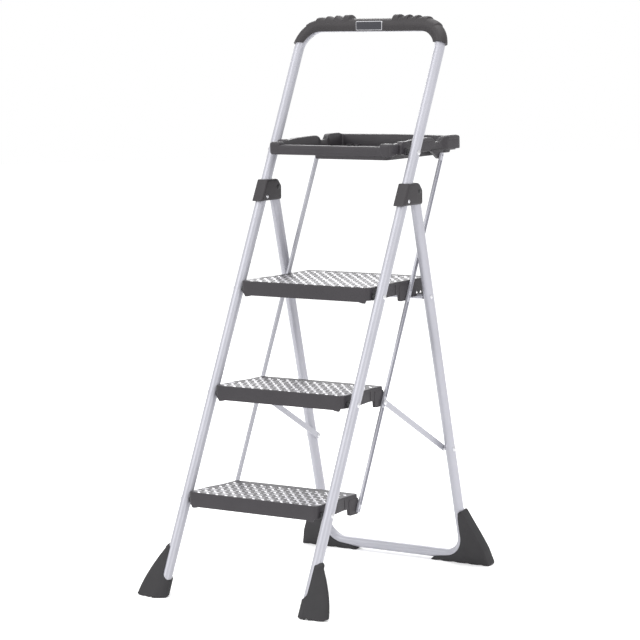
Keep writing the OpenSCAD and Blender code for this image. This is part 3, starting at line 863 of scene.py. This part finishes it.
def fin_outline():
    """The rear foot's outline in short steps, with arches along its sole."""
    ring = FIN_EDGE + [rear_bend(REAR_BEND + 0.5, a) for a in np.radians(np.linspace(0, -78, 14))]
    ring += [(138, CROSS_T - 3), (122, CROSS_T - 7)]
    dense = []
    for i, p in enumerate(ring):
        q = ring[(i + 1) % len(ring)]
        steps = max(1, int(math.dist(p, q) / 4))
        dense += [(p[0] + (q[0] - p[0]) * k / steps, p[1] + (q[1] - p[1]) * k / steps)
                  for k in range(steps)]
    out = []
    for x, y in dense:
        arch = FIN_ARCH * (0.5 - 0.5 * math.cos((x - 119) * 2 * math.pi / FIN_ARCH_PITCH))
        out.append((x, y + arch if y < 0 else y))
    return out


def build_rear_foot(side, node):
    shape = Shape()
    shape.slab(fin_outline(), -FIN_HALF, FIN_HALF, 3.5, lambda u, v, w: on_leg(side * u, v, w), steps=4)
    shape.verts = [(x, y, max(z, 0.0)) for x, y, z in shape.verts]
    obj = to_object(shape, node + "_boot", sharp=FOOT_SHARP)
    line = [on_leg(side * RAIL_X, 260, 0)]
    for a in np.radians(np.linspace(0, -90, 25)):
        x, t = rear_bend(REAR_BEND, a)
        line.append(on_leg(side * x, t, 0))
    line.append(on_leg(side * 60, CROSS_T, 0))
    cut(obj, tube_cutter(line, TUBE_R + TUBE_GAP))
    dress(obj, "foot_rubber", FOOT_SHARP)
    adopt(obj, "rear_frame", node)


build_front_foot(-1, "front_foot_left")
build_front_foot(1, "front_foot_right")
build_rear_foot(-1, "rear_foot_left")
build_rear_foot(1, "rear_foot_right")


# ---------------------------------------------------------------- pieces carried over from the CAD
slot_of = {s["node"]: s["material_slot"] for s in frame["record"]["subparts"]}
for name, obj in frame["nodes"].items():
    obj.data.materials.clear()
    obj.data.materials.append(MATERIALS[slot_of[name]])
    for poly in obj.data.polygons:
        poly.use_smooth = True
    obj.data.set_sharp_from_angle(angle=math.radians(35))


# ---------------------------------------------------------------- stage, lights and camera
def stage_floor(radius=16.0, color=(0.93, 0.93, 0.935)):
    """A plain round floor, flat all over."""
    mesh = bpy.data.meshes.new("floor")
    rim = [(x, y, 0.0) for x, y in disc((0, 0), radius, 96)]
    mesh.from_pydata(rim, [], [tuple(range(len(rim)))])
    obj = bpy.data.objects.new("floor", mesh)
    bpy.context.scene.collection.objects.link(obj)
    mat, nodes, links, bsdf = material("floor_card", color, 0.9, specular=0.1)
    vary(nodes, links, bsdf, color, 0.006, 1.5, 0.9, 0.03)
    # A little glow of its own keeps the card as pale as a studio sweep
    bsdf.inputs["Emission Color"].default_value = (1, 1, 1, 1)
    bsdf.inputs["Emission Strength"].default_value = 0.22
    mesh.materials.append(mat)


stage_floor()


def area(name, place, target, size, power):
    """A soft rectangular light at a place, turned towards its target."""
    light = bpy.data.lights.new(name, "AREA")
    light.shape, light.size, light.size_y = "RECTANGLE", size[0], size[1]
    light.energy = power
    obj = bpy.data.objects.new(name, light)
    obj.location = place
    obj.rotation_euler = (Vector(target) - Vector(place)).to_track_quat("-Z", "Y").to_euler()
    bpy.context.scene.collection.objects.link(obj)


area("key", (-1.6, -3.4, 3.4), (0, 0, 0.6), (2.6, 2.6), 66)
area("fill", (4.2, -2.4, 2.0), (0, 0, 0.6), (2.8, 2.8), 40)
area("top", (0.2, 0.4, 4.2), (0, 0, 0.5), (3.4, 3.4), 90)
area("back", (-2.6, 3.2, 2.4), (0, 0, 0.8), (2.0, 2.6), 60)

world = bpy.data.worlds.new("studio")
bpy.context.scene.world = world
world.use_nodes = True
back = world.node_tree.nodes["Background"]
back.inputs["Color"].default_value = (1, 1, 1, 1)
back.inputs["Strength"].default_value = 1.0
bpy.context.scene.view_settings.view_transform = "Standard"

# The camera looks along -out, from the right of the front and a little above
CAMERA_X, CAMERA_Y, CAMERA_Z = 3.7589, -4.8247 + RAIL_FOOT[1] * MM, 1.4275
azimuth, elevation, roll = (math.radians(a) for a in (35.874, 7.111, -1.253))
out = Vector((math.sin(azimuth) * math.cos(elevation),
              -math.cos(azimuth) * math.cos(elevation),
              math.sin(elevation)))
right = (-out).cross(Vector((0, 0, 1))).normalized()
up = right.cross(-out)
cam_x = right * math.cos(roll) + up * math.sin(roll)
cam_y = up * math.cos(roll) - right * math.sin(roll)
camera = bpy.data.objects.new("camera", bpy.data.cameras.new("camera"))
camera.matrix_world = Matrix((
    (cam_x.x, cam_y.x, out.x, CAMERA_X),
    (cam_x.y, cam_y.y, out.y, CAMERA_Y),
    (cam_x.z, cam_y.z, out.z, CAMERA_Z),
    (0, 0, 0, 1)))
camera.data.sensor_width = 36
camera.data.lens = 151.7
bpy.context.scene.collection.objects.link(camera)
bpy.context.scene.camera = camera
